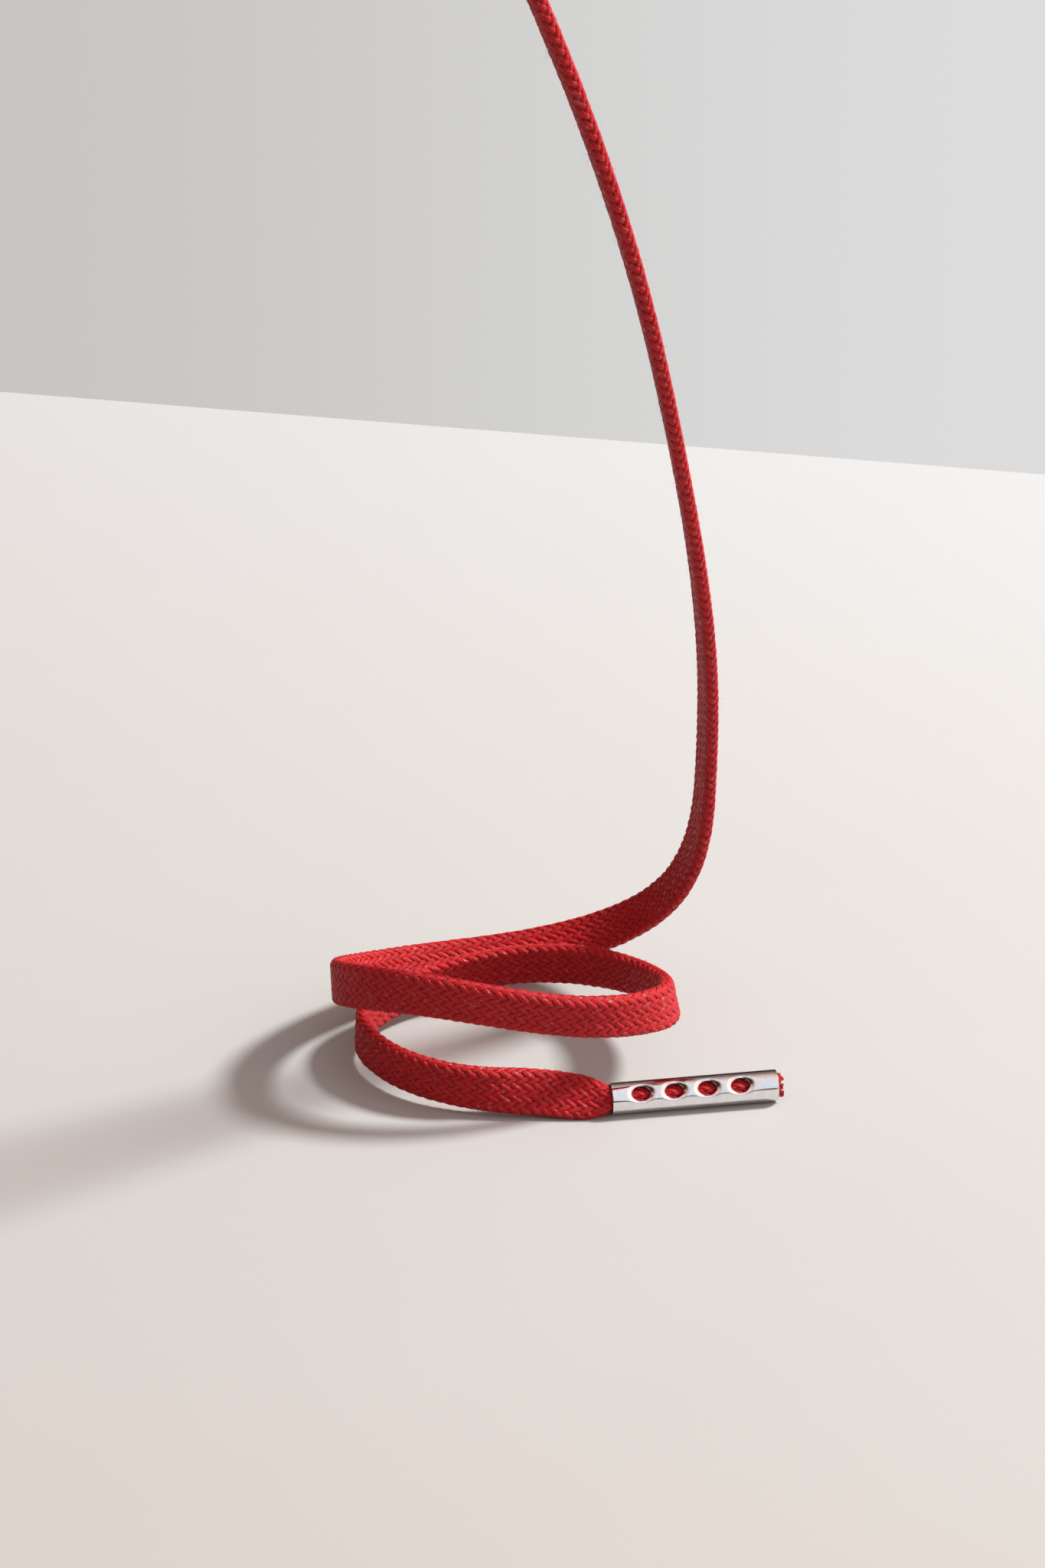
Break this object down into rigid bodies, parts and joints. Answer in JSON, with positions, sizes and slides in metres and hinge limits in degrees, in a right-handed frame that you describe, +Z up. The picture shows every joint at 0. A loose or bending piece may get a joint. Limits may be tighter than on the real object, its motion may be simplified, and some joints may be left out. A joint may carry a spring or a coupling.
{
  "type": "shoelace",
  "caption": "Flat braided waxed cotton shoelace with a crimped, punched metal aglet on each end, hanging over a peg with its lower end curled.",
  "frame": {"origin": "the point on the underside of the lace where it lies on top of the peg that holds it", "axes": "+Z up; +X towards the lower aglet, across the width of the curl; +Y to the back of the curl, along the peg. The surface under the curl and the lower aglet is at Z = -0.239 m"},
  "size_m": [0.0878, 0.0785, 0.2411],
  "materials": {
    "waxed_cotton": "braided cotton with a thin wax coat",
    "polished_nickel": "bright nickel plate"
  },
  "bodies": {
    "root": {"aglet_a": "polished_nickel", "aglet_b": "polished_nickel", "lace_tip_a": "waxed_cotton", "lace_tip_b": "waxed_cotton", "lace_lower_loop": "waxed_cotton", "lace_upper_loop": "waxed_cotton", "lace_back_strand": "waxed_cotton", "lace_rise": "waxed_cotton", "lace_up_to_peg": "waxed_cotton", "lace_hanging_end": "waxed_cotton"}
  },
  "joints": []
}
